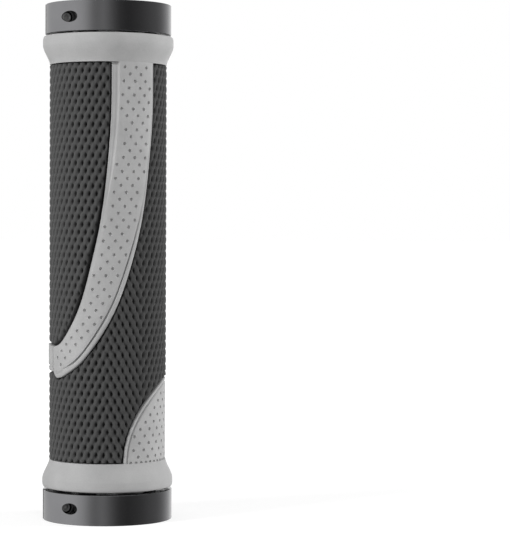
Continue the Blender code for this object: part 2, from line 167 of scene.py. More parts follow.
def make_object(name, shells, sharp=35.0):
    """One object from several shells, smooth except at edges sharper than the angle."""
    points = np.vstack([part[0] for part in shells])
    starts = np.cumsum([0] + [len(part[0]) for part in shells[:-1]])
    faces = [face + start for part, start in zip(shells, starts) for face in part[1]]
    corners = np.concatenate([face.ravel() for face in faces]).astype(np.int32)
    sizes = np.concatenate([np.full(len(face), face.shape[1]) for face in faces])
    loop_starts = np.concatenate([[0], np.cumsum(sizes)[:-1]]).astype(np.int32)
    mesh = bpy.data.meshes.new(name)
    mesh.vertices.add(len(points))
    mesh.vertices.foreach_set("co", (points * MM).astype(np.float32).ravel())
    mesh.loops.add(len(corners))
    mesh.loops.foreach_set("vertex_index", corners)
    mesh.polygons.add(len(sizes))
    mesh.polygons.foreach_set("loop_start", loop_starts)
    mesh.update(calc_edges=True)
    mesh.shade_smooth()
    mesh.set_sharp_from_angle(angle=math.radians(sharp))
    return placed(name, mesh)


def joined(name, *things):
    """One object that holds the meshes of several, which are then thrown away."""
    merged = bmesh.new()
    for thing in things:
        merged.from_mesh(thing.data)
        bpy.data.objects.remove(thing, do_unlink=True)
    mesh = bpy.data.meshes.new(name)
    merged.to_mesh(mesh)
    merged.free()
    return placed(name, mesh)


def stands_for(thing, node):
    """Let a finished piece ride on the grip in place of a frame node, and say how big it is."""
    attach(thing, "root")
    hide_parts(node)
    triangles = sum(len(face.vertices) - 2 for face in thing.data.polygons)
    print(thing.name, "stands for", node, "with", triangles, "triangles")


# %% [markdown]
# ## Cutting
#
# Holes, slots and dimples are cut with a Boolean modifier, as a drill or a mould pin would make
# them. All the cutters of a piece are one object, so one modifier does the work, and a narrow
# Bevel can break the cut edges. The result is applied to the mesh and the cutter is thrown away.

# %% Cutting
CUT_EDGE_ANGLE = 40.0


def cut(thing, cutters, bevel=0.0, sharp=35.0):
    """Cut an object with shells by an exact Boolean, then break its sharp edges if asked."""
    tool = make_object(thing.name + "_cutter", cutters)
    boolean = thing.modifiers.new("Cut", "BOOLEAN")
    boolean.operation = "DIFFERENCE"
    boolean.solver = "EXACT"
    boolean.object = tool
    if bevel:
        edges = thing.modifiers.new("Edges", "BEVEL")
        edges.limit_method = "ANGLE"
        edges.angle_limit = math.radians(CUT_EDGE_ANGLE)
        edges.width = bevel * MM
        edges.segments = 2
    bpy.context.view_layer.update()
    graph = bpy.context.evaluated_depsgraph_get()
    finished = bpy.data.meshes.new_from_object(thing.evaluated_get(graph))
    thing.modifiers.clear()
    thing.data = finished
    finished.materials.clear()
    finished.shade_smooth()
    finished.set_sharp_from_angle(angle=math.radians(sharp))
    bpy.data.objects.remove(tool, do_unlink=True)
    print(thing.name, "cut to", len(finished.polygons), "faces")


def moved(part, matrix):
    """A shell placed by a matrix whose lengths are in millimetres."""
    turn = np.array(matrix.to_3x3())
    return part[0] @ turn.T + np.array(matrix.translation), part[1]


def block(low, high, angle):
    """A box between two corners, whose +X side is turned to face an angle round the grip."""
    sides = [(low[i], high[i]) for i in range(3)]
    corners = np.array([[x, y, z] for x in sides[0] for y in sides[1] for z in sides[2]])
    faces = np.array([
        (0, 1, 3, 2), (4, 6, 7, 5), (0, 4, 5, 1), (2, 3, 7, 6), (0, 2, 6, 4), (1, 5, 7, 3),
    ])
    return moved(shell(corners, faces), Matrix.Rotation(math.radians(angle - 90.0), 4, "Z"))


# %% [markdown]
# ## Camera
#
# The photograph was taken from about half a metre away with a long lens, a little above the middle
# of the grip, and the grip stands left of the picture's centre. The camera stands straight in
# front of the grip and is turned to the right, so the grip keeps its true perspective and no lens
# shift is needed.

# %% Camera
IMAGE_LONG_SIDE = 534.0
FOCAL_PIXELS = 2135.0
CAMERA_DISTANCE = 543.5
CAMERA_HEIGHT = 74.3
CAMERA_YAW = 3.942
CAMERA_PITCH = 1.097
CAMERA_ROLL = 0.21

lens = bpy.data.cameras.new("camera")
lens.sensor_width = 36.0
lens.lens = FOCAL_PIXELS / IMAGE_LONG_SIDE * lens.sensor_width
lens.clip_start = 0.01
camera = placed("camera", lens)
looking = Matrix.Rotation(math.radians(-CAMERA_YAW), 4, "Z")
looking = looking @ Matrix.Rotation(math.radians(90.0 - CAMERA_PITCH), 4, "X")
looking = looking @ Matrix.Rotation(math.radians(CAMERA_ROLL), 4, "Z")
camera.matrix_world = Matrix.Translation((0.0, -CAMERA_DISTANCE * MM, CAMERA_HEIGHT * MM)) @ looking
bpy.context.scene.camera = camera
bpy.context.scene.view_settings.view_transform = "Standard"
print("lens", round(lens.lens, 1), "mm")

# %% [markdown]
# ## Shader helpers
#
# A finish is a small network of nodes. One function adds a node, sets its values and links its
# inputs, so that each material below reads as a list of what it is made of. Colours are written as
# hex values, as a paint chart gives them, and one function turns them into the linear numbers that
# the renderer works with. Every finish of the grip ends in the same way: one texture tints it, one
# makes it rougher or smoother, and one raises a fine grain.

# %% Shader helpers


def linear(code):
    """The linear colour of an sRGB hex code, with full opacity."""
    values = np.array([int(code[i : i + 2], 16) for i in (1, 3, 5)]) / 255
    values = np.where(values <= 0.04045, values / 12.92, ((values + 0.055) / 1.055) ** 2.4)
    return (*values.tolist(), 1.0)


def add(owner, kind, inputs=(), **settings):
    """Add a node to a material or the world. Settings are the node's own properties. Inputs, by
    name or number, are plain values, sockets, or nodes whose first output is meant."""
    tree = owner.node_tree
    node = tree.nodes.new(kind)
    for key, value in settings.items():
        setattr(node, key, value)
    for key, value in dict(inputs).items():
        if isinstance(value, bpy.types.Node):
            value = value.outputs[0]
        if isinstance(value, bpy.types.NodeSocket):
            tree.links.new(value, node.inputs[key])
        else:
            node.inputs[key].default_value = value
    return node


def new_material(name):
    """A material with an empty node tree."""
    material = bpy.data.materials.new(name)
    material.use_nodes = True
    material.node_tree.nodes.clear()
    return material


def finish(material, pieces, tint, shades, wear, roughness, grain, strength, depth_mm, **more):
    """End a material and put it on its pieces: the tint leads from one shade to the other, the
    wear from one roughness to the other, and the grain is a bump of some depth."""
    colour = add(
        material, "ShaderNodeMix", {"Factor": tint, 6: linear(shades[0]), 7: linear(shades[1])},
        data_type="RGBA",
    ).outputs[2]
    rough = add(
        material, "ShaderNodeMapRange",
        {"Value": wear, "To Min": roughness[0], "To Max": roughness[1]},
    )
    bump = add(
        material, "ShaderNodeBump", {"Strength": strength, "Distance": depth_mm * MM, "Height": grain},
    )
    shader = add(
        material, "ShaderNodeBsdfPrincipled",
        {"Base Color": colour, "Roughness": rough, "Normal": bump, **more},
    )
    add(material, "ShaderNodeOutputMaterial", {"Surface": shader})
    for piece in pieces:
        piece.data.materials.append(material)


print("sRGB #808080 is", round(linear("#808080")[0], 3), "in linear light")

# %% [markdown]
# ## Floor and surround
#
# The photograph shows the grip cut out on white. Here a white floor and a white surround do that:
# their own light is only seen by the camera and by reflections, so none of it falls on the grip.
# What does fall on the grip from all round is a weak even fill, which stands for the light that a
# white room throws back. The floor keeps the soft shadow under the lower ring.

# %% Floor and surround
# Lengths here are in metres, and strengths are shares of full white
FLOOR_HALF = 10.0
SHADOW_REACH = 0.30
SURROUND_FILL = 0.28
FLOOR_GLOW = 0.70
WHITE = linear("#ffffff")


def seen(owner):
    """A factor that is 1 for camera, glossy and transmission rays and 0 for all others."""
    path = add(owner, "ShaderNodeLightPath").outputs
    factor = path["Is Camera Ray"]
    for ray in ("Is Glossy Ray", "Is Transmission Ray"):
        factor = add(owner, "ShaderNodeMath", {0: factor, 1: path[ray]}, operation="MAXIMUM")
    return factor


world = bpy.data.worlds.new("white_surround")
world.use_nodes = True
world.node_tree.nodes.clear()
bpy.context.scene.world = world
strength = add(
    world, "ShaderNodeMapRange", {"Value": seen(world), "To Min": SURROUND_FILL, "To Max": 1.0},
)
surround = add(world, "ShaderNodeBackground", {"Color": WHITE, "Strength": strength})
add(world, "ShaderNodeOutputWorld", {"Surface": surround})

floor_paint = new_material("white_floor")
place = add(floor_paint, "ShaderNodeTexCoord").outputs["Object"]
away = add(floor_paint, "ShaderNodeVectorMath", {0: place}, operation="LENGTH").outputs["Value"]
glow = add(
    floor_paint, "ShaderNodeMapRange",
    {
        "Value": away, "From Min": SHADOW_REACH / 3, "From Max": SHADOW_REACH,
        "To Min": FLOOR_GLOW, "To Max": 1.0,
    },
)
seen_glow = add(floor_paint, "ShaderNodeMath", {0: glow, 1: seen(floor_paint)}, operation="MULTIPLY")
floor_shader = add(
    floor_paint, "ShaderNodeBsdfPrincipled",
    {
        "Base Color": linear("#bcbcbc"), "Roughness": 0.9, "Specular IOR Level": 0.0,
        "Emission Color": WHITE, "Emission Strength": seen_glow,
    },
)
add(floor_paint, "ShaderNodeOutputMaterial", {"Surface": floor_shader})

floor_mesh = bpy.data.meshes.new("floor")
floor_corners = [(x * FLOOR_HALF, y * FLOOR_HALF, 0) for x, y in ((-1, -1), (1, -1), (1, 1), (-1, 1))]
floor_mesh.from_pydata(floor_corners, [], [(0, 1, 2, 3)])
floor_mesh.materials.append(floor_paint)
floor = placed("floor", floor_mesh)
floor.visible_glossy = False
print("floor", 2 * FLOOR_HALF, "m wide")

# %% [markdown]
# ## Lights
#
# Two softboxes stand at the left and far round to the right, a little above the grip. Each one rakes
# across the knurl on its own side, so that the grooves that lean away from it turn dark. A small one
# near the camera shines into the screw holes, and one overhead lifts the upper edges. All but the
# last are hidden from reflections, because the photograph shows no lamp in the polished rings.

# %% Softboxes
# Each light is (name, azimuth from the front towards +X, elevation, size, watts, mirrored or not).
# Angles are in degrees, and the size and the distance in metres.
LIGHT_DISTANCE = 0.95
LIGHTS = (
    ("left_softbox", -58.0, 15.0, 0.30, 6.0, False),
    ("right_softbox", 94.0, 8.0, 0.26, 7.2, False),
    ("front_softbox", 12.0, 10.0, 0.20, 1.7, False),
    ("top_softbox", 0.0, 78.0, 0.60, 0.8, True),
)
middle = Vector((0.0, 0.0, GRIP_LENGTH / 2 * MM))

for name, azimuth, elevation, size, watts, mirrored in LIGHTS:
    lamp = bpy.data.lights.new(name, "AREA")
    lamp.shape = "SQUARE"
    lamp.size = size
    lamp.energy = watts
    light = placed(name, lamp)
    rise = math.radians(elevation)
    flat = LIGHT_DISTANCE * math.cos(rise)
    light.location = middle + Vector(on_grip(azimuth, flat, LIGHT_DISTANCE * math.sin(rise)))
    light.rotation_euler = (middle - light.location).to_track_quat("-Z", "Y").to_euler()
    light.visible_camera = False
    light.visible_glossy = mirrored
print(len(LIGHTS), "softboxes")

# %% [markdown]
# ## What the metal mirrors
#
# Polished metal has no look of its own: it shows what stands round it. In the photograph the rings
# are light on the left third, nearly black right of the middle and light again at the right edge,
# so a dark screen stood behind the camera, reaching far to the right. Here a curved screen does
# that, and reaches almost all the way round. Only reflections see it, and its brightness at each
# angle round the grip is a small table. A point of the ring mirrors it at twice its own angle.

# %% Screen
SCREEN_RADIUS = 1.2
SCREEN_HEIGHT = 1.5
SCREEN_STEPS = 103
# Each pair is an angle round the grip and the screen's brightness there, where white is 1
SCREEN_TONES = (
    (-160.0, 0.70), (-110.0, 0.95), (-70.0, 0.98), (-48.0, 0.88), (-38.0, 0.66), (-28.0, 0.40),
    (-20.0, 0.34), (-10.0, 0.42), (-2.0, 0.34), (8.0, 0.20), (20.0, 0.10), (36.0, 0.07),
    (60.0, 0.11), (80.0, 0.17), (98.0, 0.22), (112.0, 0.32), (128.0, 0.58), (146.0, 0.90),
)
screen_angle, screen_tone = np.array(SCREEN_TONES).T
screen_turn = np.linspace(screen_angle[0], screen_angle[-1], SCREEN_STEPS)
screen_ends = np.array([[-SCREEN_HEIGHT], [SCREEN_HEIGHT]])
screen_points = on_grip(screen_turn, SCREEN_RADIUS, screen_ends)
screen_mesh = bpy.data.meshes.new("dark_screen")
screen_mesh.from_pydata(screen_points.reshape(-1, 3).tolist(), [], grid_faces(2, SCREEN_STEPS).tolist())
tone_layer = screen_mesh.attributes.new("tone", "FLOAT", "POINT")
tone_layer.data.foreach_set("value", np.tile(np.interp(screen_turn, screen_angle, screen_tone), 2))
screen_paint = new_material("dark_screen")
tone = add(screen_paint, "ShaderNodeAttribute", attribute_name="tone").outputs["Fac"]
screen_glow = add(screen_paint, "ShaderNodeEmission", {"Color": WHITE, "Strength": tone})
add(screen_paint, "ShaderNodeOutputMaterial", {"Surface": screen_glow})
screen_mesh.materials.append(screen_paint)
screen = placed("dark_screen", screen_mesh)
screen.visible_camera = False
screen.visible_diffuse = False
screen.visible_transmission = False
screen.visible_shadow = False
print("screen from", screen_angle[0], "to", screen_angle[-1], "degrees")

# %% [markdown]
# ## The outline of the grey band
#
# The grey rubber sweeps from the upper collar down and round the left side. Its outline is drawn
# on the unrolled surface, where one direction is the distance round the grip and the other is the
# height, so distances there are true. A smooth curve runs through the knots of each edge, and
# points at equal shares of the two curves face each other across the band. The back of the grip is
# the mirror image of the front, so the front half is enough.

# %% Band outline
BAND_RADIUS = 14.95
PER_DEGREE = BAND_RADIUS * math.pi / 180.0
EDGE_ROWS = 181

# The two edges as (angle round the grip, depth below the upper collar)
BAND_INNER_EDGE = (
    (3.5, 0.0), (3.0, 12.35), (-0.2, 24.85), (-5.4, 36.55), (-13.2, 46.85),
    (-27.6, 60.25), (-45.6, 68.25), (-62.0, 70.75), (-90.0, 70.35),
)
BAND_OUTER_EDGE = (
    (49.2, 0.0), (48.8, 12.35), (44.7, 24.05), (38.3, 35.45), (29.0, 45.65),
    (14.8, 56.95), (2.1, 64.25), (-13.1, 70.35), (-29.3, 75.05), (-47.0, 77.85),
    (-57.0, 78.70), (-62.5, 78.55), (-66.0, 77.55), (-71.0, 77.25), (-90.0, 77.25),
)


def smooth_line(knots, steps=24):
    """A smooth curve through the knots: in each span, a cubic that leaves and meets each knot
    along the line between its two neighbours."""
    knots = np.asarray(knots, float)
    before = np.vstack([2 * knots[0] - knots[1], knots[:-1]])
    after = np.vstack([knots[1:], 2 * knots[-1] - knots[-2]])
    slope = (after - before) / 2
    place = np.linspace(0.0, len(knots) - 1.0, steps * (len(knots) - 1) + 1)
    span = np.minimum(place.astype(int), len(knots) - 2)
    t = (place - span)[:, None]
    return (
        (2 * t**3 - 3 * t**2 + 1) * knots[span] + (t**3 - 2 * t**2 + t) * slope[span]
        + (3 * t**2 - 2 * t**3) * knots[span + 1] + (t**3 - t**2) * slope[span + 1]
    )


def even_rows(knots, rows):
    """A knot list as (arc, height) points at equal distances along its smooth curve."""
    line = smooth_line(knots)
    line = np.column_stack([line[:, 0] * PER_DEGREE, UPPER_FOOT - line[:, 1]])
    length = np.concatenate([[0.0], np.cumsum(np.linalg.norm(np.diff(line, axis=0), axis=1))])
    share = np.linspace(0.0, length[-1], rows)
    return np.column_stack([np.interp(share, length, line[:, i]) for i in (0, 1)])


inner_edge = even_rows(BAND_INNER_EDGE, EDGE_ROWS)
outer_edge = even_rows(BAND_OUTER_EDGE, EDGE_ROWS)
top_width = np.linalg.norm(outer_edge[0] - inner_edge[0])
print("band is", round(float(top_width), 1), "mm wide at the top")

# %% [markdown]
# ## The outline of the dome pad
#
# At the lower right a pad of the same grey rubber rises from the lower collar. Its outline is
# nearly half an ellipse round the grip, centred on the right side, so a formula gives it.

# %% Dome outline
DOME_RADIUS = 14.6
DOME_HEIGHT = 20.85
DOME_HALF_ANGLE = 74.0
DOME_MIDDLE = 90.0
DOME_SHOULDER = 1.1
DOME_PER_DEGREE = DOME_RADIUS * math.pi / 180.0
DOME_EDGE_ROWS = 121


def dome_rows(rows):
    """The dome's edge as (arc, height): the angle lies 74 (cos t)^1.1 to either side of the
    middle, and the height is 20.85 sin t above the foot."""
    turn = np.linspace(0.0, math.pi, rows)
    across = np.sign(np.cos(turn)) * np.abs(np.cos(turn)) ** DOME_SHOULDER
    angle = DOME_MIDDLE - DOME_HALF_ANGLE * across
    return np.column_stack([angle * DOME_PER_DEGREE, LOWER_FOOT + DOME_HEIGHT * np.sin(turn)])


dome_edge = dome_rows(DOME_EDGE_ROWS)
print("dome is", round(float(np.ptp(dome_edge[:, 0])), 1), "mm wide at its foot")

# %% [markdown]
# ## Distance to an outline
#
# The knurl stops at the channels for the grey rubber. A signed distance says how far a point is
# outside an outline, or with a minus sign inside it. It is the distance to the nearest stretch of
# the outline, and a crossing count gives the sign.

# %% Signed distance


def signed_distance(points, outline):
    """Distance from each point to a closed outline, negative inside it."""
    start = outline
    along = np.roll(outline, -1, axis=0) - start
    length = np.maximum((along**2).sum(1), 1e-12)
    offset = points[:, None, :] - start[None]
    share = np.clip((offset * along).sum(2) / length, 0.0, 1.0)
    gap = np.linalg.norm(offset - share[..., None] * along, axis=2).min(1)
    rises = (start[:, 1] <= points[:, None, 1]) != (np.roll(start[:, 1], -1) <= points[:, None, 1])
    steep = np.where(np.abs(along[:, 1]) < 1e-9, 1e-9, along[:, 1])
    crossing = start[:, 0] + offset[:, :, 1] / steep * along[:, 0]
    inside = (rises & (crossing > points[:, None, 0])).sum(1) % 2 == 1
    return np.where(inside, -gap, gap)


def blend(low, high, value):
    """0 below low, 1 above high, and an S-shaped rise between them."""
    t = np.clip((value - low) / (high - low), 0.0, 1.0)
    return t * t * (3.0 - 2.0 * t)


unit_square = np.array([(0.0, 0.0), (1.0, 0.0), (1.0, 1.0), (0.0, 1.0)])
print("middle of a unit square:", signed_distance(np.array([[0.5, 0.5]]), unit_square))

# %% [markdown]
# ## Knurl relief
#
# The dark rubber is moulded with 48 diamonds round the grip, between two sets of grooves that cross
# like a file's teeth. The grooves are shallow, but where two of them cross the mould leaves a deep
# pit, and those pits are the dark marks that the eye sees first. On the left half of the front the
# grooves that rise to the right are the deeper ones. In a strip right of the middle it is the
# others, so there the grooves meet in a row of chevrons. It could be a bump texture, but the
# outline of the grip is visibly scalloped, so the relief is real geometry.

# %% Knurl relief
DIAMONDS_AROUND = 48
ROW_HEIGHT = 1.9
FINE_STEPS = 4
GROOVE_REACH = 0.36
GROOVE_DROP = 0.34
PIT_CORE = 0.04
PIT_REACH = 0.30
PIT_DROP = 0.55
CROWN_DROP = 0.08
WEAK_SHARE = 0.42


def knurl_relief(column, row, lean):
    """Height over the knurl's tops, in millimetres. Where lean is 1 the grooves that fall to the
    right are the strong ones, and where it is 0 the others.

    With p and q counted across the two sets of grooves, a groove lies at every whole number. Each
    groove falls away over a third of a diamond, and a pit lies where both are near. The height is
    minus 0.34 times the stronger groove, minus 0.55 times the pit, minus a slight crown. A weak
    groove has 0.42 of the full depth.
    """
    p = (column + row) / 2
    q = (column - row) / 2
    to_p = np.abs(p - np.round(p))
    to_q = np.abs(q - np.round(q))
    in_p = (1 - blend(0.0, GROOVE_REACH, to_p)) * (WEAK_SHARE + (1 - WEAK_SHARE) * lean)
    in_q = (1 - blend(0.0, GROOVE_REACH, to_q)) * (1 - (1 - WEAK_SHARE) * lean)
    pit = 1 - blend(PIT_CORE, PIT_REACH, np.maximum(to_p, to_q))
    crown = 1 - np.minimum(to_p, to_q) / 0.5
    return -GROOVE_DROP * np.maximum(in_p, in_q) - PIT_DROP * pit - CROWN_DROP * crown


print("deepest pit", round(float(knurl_relief(0.0, 0.0, 1.0)), 2), "mm")

# %% [markdown]
# ## The knurl's grid
#
# The sleeve is a grid of angles and heights with a few fine steps to each diamond. On the front the
# strip of changed grooves starts and ends over a few degrees. The back is the front's mirror image,
# where the two sets of grooves change places.

# %% Knurl grid
# The strip of changed grooves, as the angles over which it starts and ends
CHEVRON_START = (-4.0, 2.0)
CHEVRON_END = (31.0, 37.0)
SIDE_BLEND = 0.05

columns = 2 * DIAMONDS_AROUND * FINE_STEPS
coarse_rows = round((sleeve_high[2] - sleeve_low[2]) / ROW_HEIGHT)
rows = coarse_rows * FINE_STEPS + 1
column_index, row_index = np.meshgrid(np.arange(columns), np.arange(rows))
angle = 90.0 + 360.0 * column_index / columns
height = sleeve_low[2] + (sleeve_high[2] - sleeve_low[2]) * row_index / (rows - 1)
folded = np.degrees(np.arcsin(np.sin(np.radians(angle))))
strip = blend(*CHEVRON_START, folded) - blend(*CHEVRON_END, folded)
front = blend(-SIDE_BLEND, SIDE_BLEND, np.cos(np.radians(angle)))
lean = front * strip + (1 - front) * (1 - strip)
relief = knurl_relief(column_index / FINE_STEPS, row_index / FINE_STEPS, lean)
print("knurl grid", columns, "by", rows)

# %% [markdown]
# ## Channels in the knurl
#
# The grey rubber lies in channels of the dark one. Each outline is closed beyond the sleeve's ends
# and beyond its left side, so that the signed distance is right there too. The knurl rises from the
# channel's floor over a short slope. Beside the band's inner edge it starts later than elsewhere,
# which leaves the dark moat that the photograph shows along that edge.

# %% Channels
CHANNEL_DEPTH = 1.3
CHANNEL_START = 0.10
KNURL_START = 0.42
MOAT_WIDTH = 0.95
MOAT_FLOOR = 0.6
MOAT_HEIGHTS = (LOWER_FOOT + 42.0, UPPER_FOOT - 14.0)
MOAT_ANGLES = (-72.0, -58.0)

unrolled = np.column_stack([folded.ravel() * PER_DEGREE, height.ravel()])
beyond = -130.0 * PER_DEGREE
top_edge = UPPER_FOOT + 5.0
band_outline = np.vstack([
    [inner_edge[0][0], top_edge], inner_edge, [beyond, inner_edge[-1][1]],
    [beyond, outer_edge[-1][1]], outer_edge[::-1], [outer_edge[0][0], top_edge],
])
dome_outline = np.vstack([dome_edge, [dome_edge[-1][0], 0.0], [dome_edge[0][0], 0.0]])
to_band = signed_distance(unrolled, band_outline)
to_dome = signed_distance(unrolled, dome_outline)
inner_arc = np.interp(unrolled[:, 1], inner_edge[::-1, 1], inner_edge[::-1, 0])
above_inner = (unrolled[:, 0] < inner_arc) & (unrolled[:, 1] > inner_edge[-1][1])
moat = MOAT_WIDTH * above_inner * (1 - blend(*MOAT_HEIGHTS, unrolled[:, 1]))
moat = moat * blend(*MOAT_ANGLES, unrolled[:, 0] / PER_DEGREE)
# Painted shade: the moat's floor lies deep enough for the finish to paint it darkest, with no
# reflection
by_band = blend(CHANNEL_START + moat * MOAT_FLOOR, KNURL_START + moat, to_band)
by_dome = blend(CHANNEL_START, KNURL_START, to_dome)
open_face = np.minimum(by_band, by_dome).reshape(angle.shape)
radius = KNURL_RADIUS + open_face * relief - (1 - open_face) * CHANNEL_DEPTH
print("knurl covers", round(100 * float(open_face.mean())), "percent of the sleeve")

# %% [markdown]
# ## Knurled rubber
#
# Every groove runs along the grid's diagonals. Each quad is split along the groove that crosses it,
# so the grooves stay clean straight lines. The height over the knurl's tops is kept as an attribute
# of the mesh, for the finish to read.

# %% Knurled rubber
RUBBER_BORE = CORE_RADIUS + SEAT_GAP

outer = on_grip(angle, radius, height)
inner = on_grip(angle[[-1, 0]], RUBBER_BORE, height[[-1, 0]])
quads = grid_faces(rows + 2, columns, wrap_rows=True, wrap_columns=True)
centre_column = (np.arange(columns) + 0.5) / FINE_STEPS
centre_row = (np.arange(rows + 2) + 0.5)[:, None] / FINE_STEPS
across_p = np.abs((centre_column + centre_row) / 2 % 1.0 - 0.5)
across_q = np.abs((centre_column - centre_row) / 2 % 1.0 - 0.5)
swap = (across_p < across_q).ravel()
straight = np.vstack([quads[~swap][:, [0, 1, 2]], quads[~swap][:, [0, 2, 3]]])
crossed = np.vstack([quads[swap][:, [0, 1, 3]], quads[swap][:, [1, 2, 3]]])
knurl_shell = shell(np.vstack([outer, inner]), np.vstack([straight, crossed]))
knurl = make_object("knurled_rubber", [knurl_shell], sharp=75.0)
lift = knurl.data.attributes.new("lift", "FLOAT", "POINT")
lift_values = np.concatenate([(radius - KNURL_RADIUS).ravel(), np.full(2 * columns, -CHANNEL_DEPTH)])
lift.data.foreach_set("value", lift_values.astype(np.float32))
stands_for(knurl, "knurled_sleeve")

# %% [markdown]
# ## Collars
#
# Each end of the grip flares into a smooth grey collar that meets the clamp ring. It is a turned
# form, so its section is all that is needed: an edge that leans in towards the ring, a short
# straight land, and a flare down to the knurl that is half a cone and half an S-curve.

# %% Collar section
COLLAR_EDGE_DROP = 0.4
COLLAR_EDGE_LENGTH = 1.4
COLLAR_LAND = 1.2
COLLAR_FOOT_RADIUS = 14.7
COLLAR_WIDTH = LOWER_FOOT - LOWER_COLLAR_END
COLLAR_STEPS = 16
RECESS_RADIUS = 14.1
UPPER_UNDERCUT = 0.20
LOWER_UNDERCUT = 0.42


def collar_section(undercut):
    """The collar's closed section as (radius, distance from its ring end).

    Its end face stops short at a recess, which stays dark, and the edge outside of that starts
    further on by the undercut. The edge is a quarter of an ellipse, 0.4 by 1.4. The flare is the
    mean of a straight line and half a cosine wave from the land to the foot.
    """
    turn = np.linspace(0.0, math.pi / 2, COLLAR_STEPS)
    edge = np.column_stack([
        COLLAR_RADIUS - COLLAR_EDGE_DROP * (1 - np.sin(turn)),
        undercut + (COLLAR_EDGE_LENGTH - undercut) * (1 - np.cos(turn)),
    ])
    t = np.linspace(0.0, 1.0, COLLAR_STEPS)
    start = COLLAR_EDGE_LENGTH + COLLAR_LAND
    drop = COLLAR_RADIUS - COLLAR_FOOT_RADIUS
    flare = np.column_stack([
        COLLAR_FOOT_RADIUS + drop * (1 - t + (1 + np.cos(math.pi * t)) / 2) / 2,
        start + (COLLAR_WIDTH - start) * t,
    ])
    lip = [
        (RECESS_RADIUS, 0.0), (RECESS_RADIUS + 0.1, 0.9),
        (edge[0][0] - 0.25, 0.75), (edge[0][0] - 0.10, undercut),
    ]
    back = [(RUBBER_BORE, COLLAR_WIDTH), (RUBBER_BORE, 0.0)]
    return np.vstack([lip, edge, flare, back])


upper_collar = turned_shell(collar_section(UPPER_UNDERCUT) * (1, -1) + (0, UPPER_COLLAR_END))
lower_collar = turned_shell(collar_section(LOWER_UNDERCUT) + (0, LOWER_COLLAR_END))
print("each collar has", len(upper_collar[0]), "points")

# %% [markdown]
# ## Sweeping band
#
# The band is one moulding: a fluted strip along its inner edge, a step up to the dimpled pad, and a
# rim along its outer edge, with a narrow groove between rim and pad that deepens towards the lower
# end. It could be cut from a tube, but carrying a section along the two edges lets the strip, the
# groove and the rim change their widths as they do on the real grip. The same rows, mirrored, make
# the back, and both halves meet on the left side.

# %% Band tables
BAND_ROWS = 300
BAND_BORE = KNURL_RADIUS - CHANNEL_DEPTH + SEAT_GAP
PAD_COLUMNS = 10
RIM_DROP = 0.12
STRIP_DROP = 0.30
FLUTE_DROP = 0.07

# Each table is (depth below the collar, value), with values in millimetres
STRIP_WIDTHS = ((0.0, 1.75), (20.0, 1.7), (32.0, 1.3), (42.0, 0.75), (52.0, 0.3), (90.0, 0.3))
NOTCH_DEPTHS = ((0.0, 0.9), (0.5, 0.9), (0.9, 0.0), (90.0, 0.0))
GROOVE_PLACES = (
    (0.0, 0.62), (20.0, 0.75), (35.0, 1.0), (45.0, 1.3), (56.0, 1.5), (67.0, 1.55), (77.0, 1.35),
)
GROOVE_DEPTHS = (
    (0.0, 0.05), (30.0, 0.08), (40.0, 0.20), (50.0, 0.80), (70.0, 0.95), (75.5, 0.80), (78.0, 0.08),
)
GROOVE_WIDTHS = ((0.0, 0.22), (36.0, 0.30), (50.0, 0.40), (66.0, 0.50), (90.0, 0.50))


def along_depth(table, depth):
    """Read a (depth, value) table at the given depths, as a column."""
    table = np.asarray(table)
    return np.interp(depth, table[:, 0], table[:, 1])[:, None]


print("groove is at most", max(value for _, value in GROOVE_DEPTHS), "mm deep")

# %% [markdown]
# ## Carrying the section
#
# The section is a list of pairs: a distance from the inner edge, and how far the surface lies below
# the pad's top there. Each value is a column with one entry for each row of the band, so the whole
# band is computed at once.

# %% Band shell


def band_shell():
    """The band as a closed tube of sections from the collar, round the left side, to the collar."""
    inner = even_rows(BAND_INNER_EDGE, BAND_ROWS)
    outer = even_rows(BAND_OUTER_EDGE, BAND_ROWS)
    depth = UPPER_FOOT - outer[:, 1]
    across = outer - inner
    width = np.linalg.norm(across, axis=1)[:, None]
    strip = along_depth(STRIP_WIDTHS, depth)
    half_groove = along_depth(GROOVE_WIDTHS, depth) / 2
    deep = along_depth(GROOVE_DEPTHS, depth)
    notch = along_depth(NOTCH_DEPTHS, depth)
    groove = width - along_depth(GROOVE_PLACES, depth)
    one = np.ones_like(width)
    rim = RIM_DROP * one
    wall = (BAND_RADIUS - BAND_BORE) * one
    plain = blend(0.4, 1.4, strip)
    sunk = STRIP_DROP * plain + notch
    flute = sunk + FLUTE_DROP * plain
    pad_start = strip + 0.26
    pad_end = groove - half_groove - 0.10
    pad = pad_start + (pad_end - pad_start) * np.linspace(0.0, 1.0, PAD_COLUMNS)
    section = (
        (0 * one, sunk + 0.26), (0.05 * one, sunk + 0.10), (0.14 * one, sunk + 0.02),
        (strip * 0.30, flute), (strip * 0.48, sunk), (strip * 0.56, sunk), (strip * 0.76, flute),
        (strip * 0.96, sunk), (strip + 0.12, 0.05 * one), (pad, 0 * pad),
        (groove - half_groove, 0.04 * one), (groove - half_groove * 0.8, deep),
        (groove + half_groove * 0.8, deep), (groove + half_groove, rim * 0.8 + 0.04),
        (groove + half_groove + 0.12, rim * 0.6), ((groove + width) / 2 + 0.15, rim),
        (width - 0.22, rim + 0.08), (width - 0.06, rim + 0.22), (width, rim + 0.40),
        (width, wall), (width * 0.5, wall), (0 * one, wall),
    )
    place, drop = (np.hstack(values) for values in zip(*section))
    flat = inner[:, None, :] + across[:, None, :] * (place / width)[..., None]
    front = on_grip(flat[..., 0] / PER_DEGREE, BAND_RADIUS - drop, flat[..., 1])
    mirrored = front[::-1] * FRONT_TO_BACK
    tube = np.vstack([front, mirrored[1:]])
    rows, columns = tube.shape[:2]
    sides = grid_faces(rows, columns, wrap_columns=True)
    first_end = np.arange(columns)[None, :]
    return shell(tube, sides, first_end[:, ::-1], (rows - 1) * columns + first_end)


band = make_object("band", [band_shell()])
print("band sweep has", len(band.data.vertices), "points")

